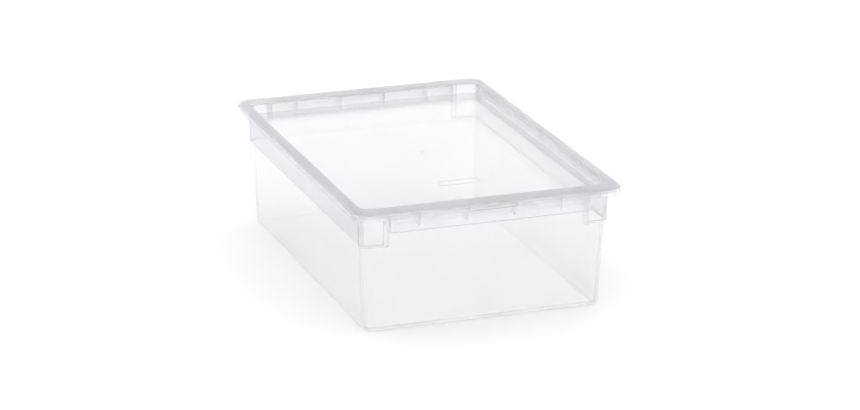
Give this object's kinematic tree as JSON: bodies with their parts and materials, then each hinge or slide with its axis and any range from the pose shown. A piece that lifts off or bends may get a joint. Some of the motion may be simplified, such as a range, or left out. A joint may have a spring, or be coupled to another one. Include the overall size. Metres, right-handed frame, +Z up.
{
  "type": "lidded shoe box",
  "caption": "Clear rectangular shoe box: drafted tub with grip aprons, recessed stacking lid and a flexing snap tab on each short side.",
  "frame": {"origin": "centre of the underside, on the surface the box stands on", "axes": "+Z up, +Y along the long sides towards the rear short side, +X across the short sides"},
  "size_m": [0.27, 0.3968, 0.125],
  "materials": {
    "clear_tub": "translucent natural polypropylene, smooth",
    "clear_lid": "translucent natural polypropylene, polished panel"
  },
  "bodies": {
    "tub": {"tub": "clear_tub"},
    "lid": {"lid": "clear_lid"},
    "front_tab": {"front_latch_tab": "clear_lid"},
    "rear_tab": {"rear_latch_tab": "clear_lid"}
  },
  "joints": [
    {"name": "lid_lift", "type": "slide", "parent": "tub", "child": "lid", "axis": [0, 0, 1], "range_m": [0, 0.18]},
    {"name": "front_tab_flex", "type": "hinge", "parent": "lid", "child": "front_tab", "pos_m": [0, -0.1968, 0.1231], "axis": [-1, 0, 0], "range_deg": [0, 12], "stiffness_Nm_per_rad": 0.05},
    {"name": "rear_tab_flex", "type": "hinge", "parent": "lid", "child": "rear_tab", "pos_m": [0, 0.1968, 0.1231], "axis": [1, 0, 0], "range_deg": [0, 12], "stiffness_Nm_per_rad": 0.05}
  ]
}
